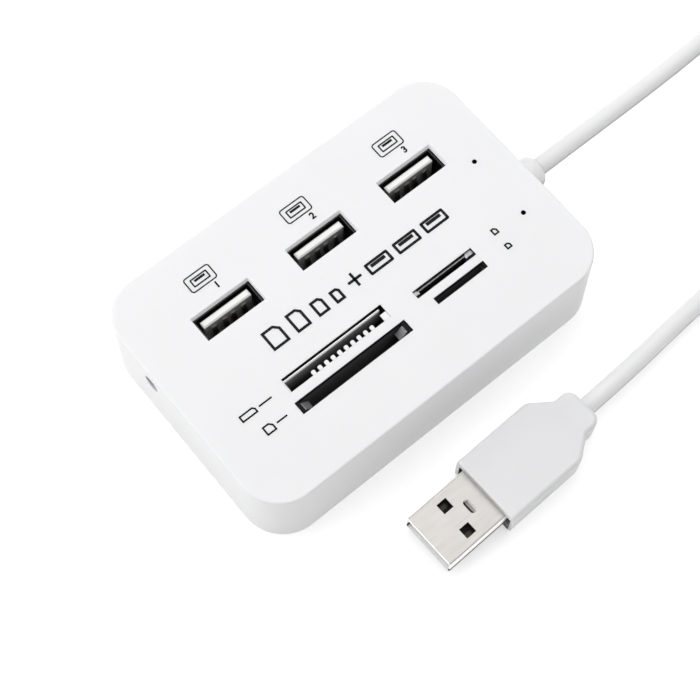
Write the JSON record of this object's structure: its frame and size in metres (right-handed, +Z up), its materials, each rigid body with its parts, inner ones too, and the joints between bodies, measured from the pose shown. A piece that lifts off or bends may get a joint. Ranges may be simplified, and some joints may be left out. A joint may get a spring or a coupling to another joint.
{
  "type": "usb hub card reader",
  "caption": "White rounded desktop hub and memory card reader: upright sockets and card slots in its top, a power jack in one end, and a fixed cable with a plug.",
  "frame": {"origin": "middle of the underside of the case, on the surface that it stands on; the cable and its strain relief, coil and plug are left out of the middle", "axes": "+X along the case's long side towards the cable's exit, +Y towards the row of upright sockets, +Z up"},
  "size_m": [0.1824, 0.08, 0.019],
  "materials": {
    "case_white": "satin moulded plastic",
    "board_green": "varnished circuit board",
    "steel_plain": "bright drawn sheet",
    "screw_steel": "plain zinc plate",
    "tongue_white": "matt moulded plastic",
    "socket_black": "matt moulded plastic",
    "contact_gold": "bright plated strip",
    "chip_black": "matt moulded resin",
    "can_metal": "bright drawn can",
    "chip_part_tan": "matt ceramic",
    "led_clear": "clear resin",
    "cable_white": "smooth satin cable sheath",
    "overmold_white": "smooth satin moulding",
    "wire_red": "smooth wire insulation",
    "tie_white": "smooth flat band",
    "plug_steel": "bright nickel plate, finely brushed"
  },
  "bodies": {
    "root": {"top_shell": "case_white", "bottom_cover": "case_white", "circuit_board": "board_green", "board_screws": "screw_steel", "large_card_socket": "socket_black", "large_card_springs": "steel_plain", "large_card_contacts": "contact_gold", "stick_card_socket": "tongue_white", "stick_card_plate": "steel_plain", "stick_card_contacts": "contact_gold", "mini_card_socket": "socket_black", "mini_card_shield": "steel_plain", "mini_card_contacts": "contact_gold", "micro_card_socket": "socket_black", "micro_card_contacts": "contact_gold", "hub_chip": "chip_black", "reader_chip": "chip_black", "crystals": "can_metal", "bulk_capacitor": "can_metal", "chip_parts": "chip_part_tan", "status_leds": "led_clear", "led_legs": "screw_steel", "dc_jack_housing": "socket_black", "dc_jack_pin": "steel_plain", "dc_jack_spring": "steel_plain", "cable_grommet": "cable_white", "cable_wires": "wire_red", "cable_run_out": "cable_white", "cable_coil": "cable_white", "cable_run_back": "cable_white", "cable_tie": "tie_white", "plug_overmold": "overmold_white", "plug_shell": "plug_steel", "plug_insulator": "socket_black", "plug_contacts": "contact_gold", "usb_port_1_shell": "steel_plain", "usb_port_1_insulator": "tongue_white", "usb_port_1_contacts": "contact_gold", "usb_port_2_shell": "steel_plain", "usb_port_2_insulator": "tongue_white", "usb_port_2_contacts": "contact_gold", "usb_port_3_shell": "steel_plain", "usb_port_3_insulator": "tongue_white", "usb_port_3_contacts": "contact_gold"}
  },
  "joints": []
}
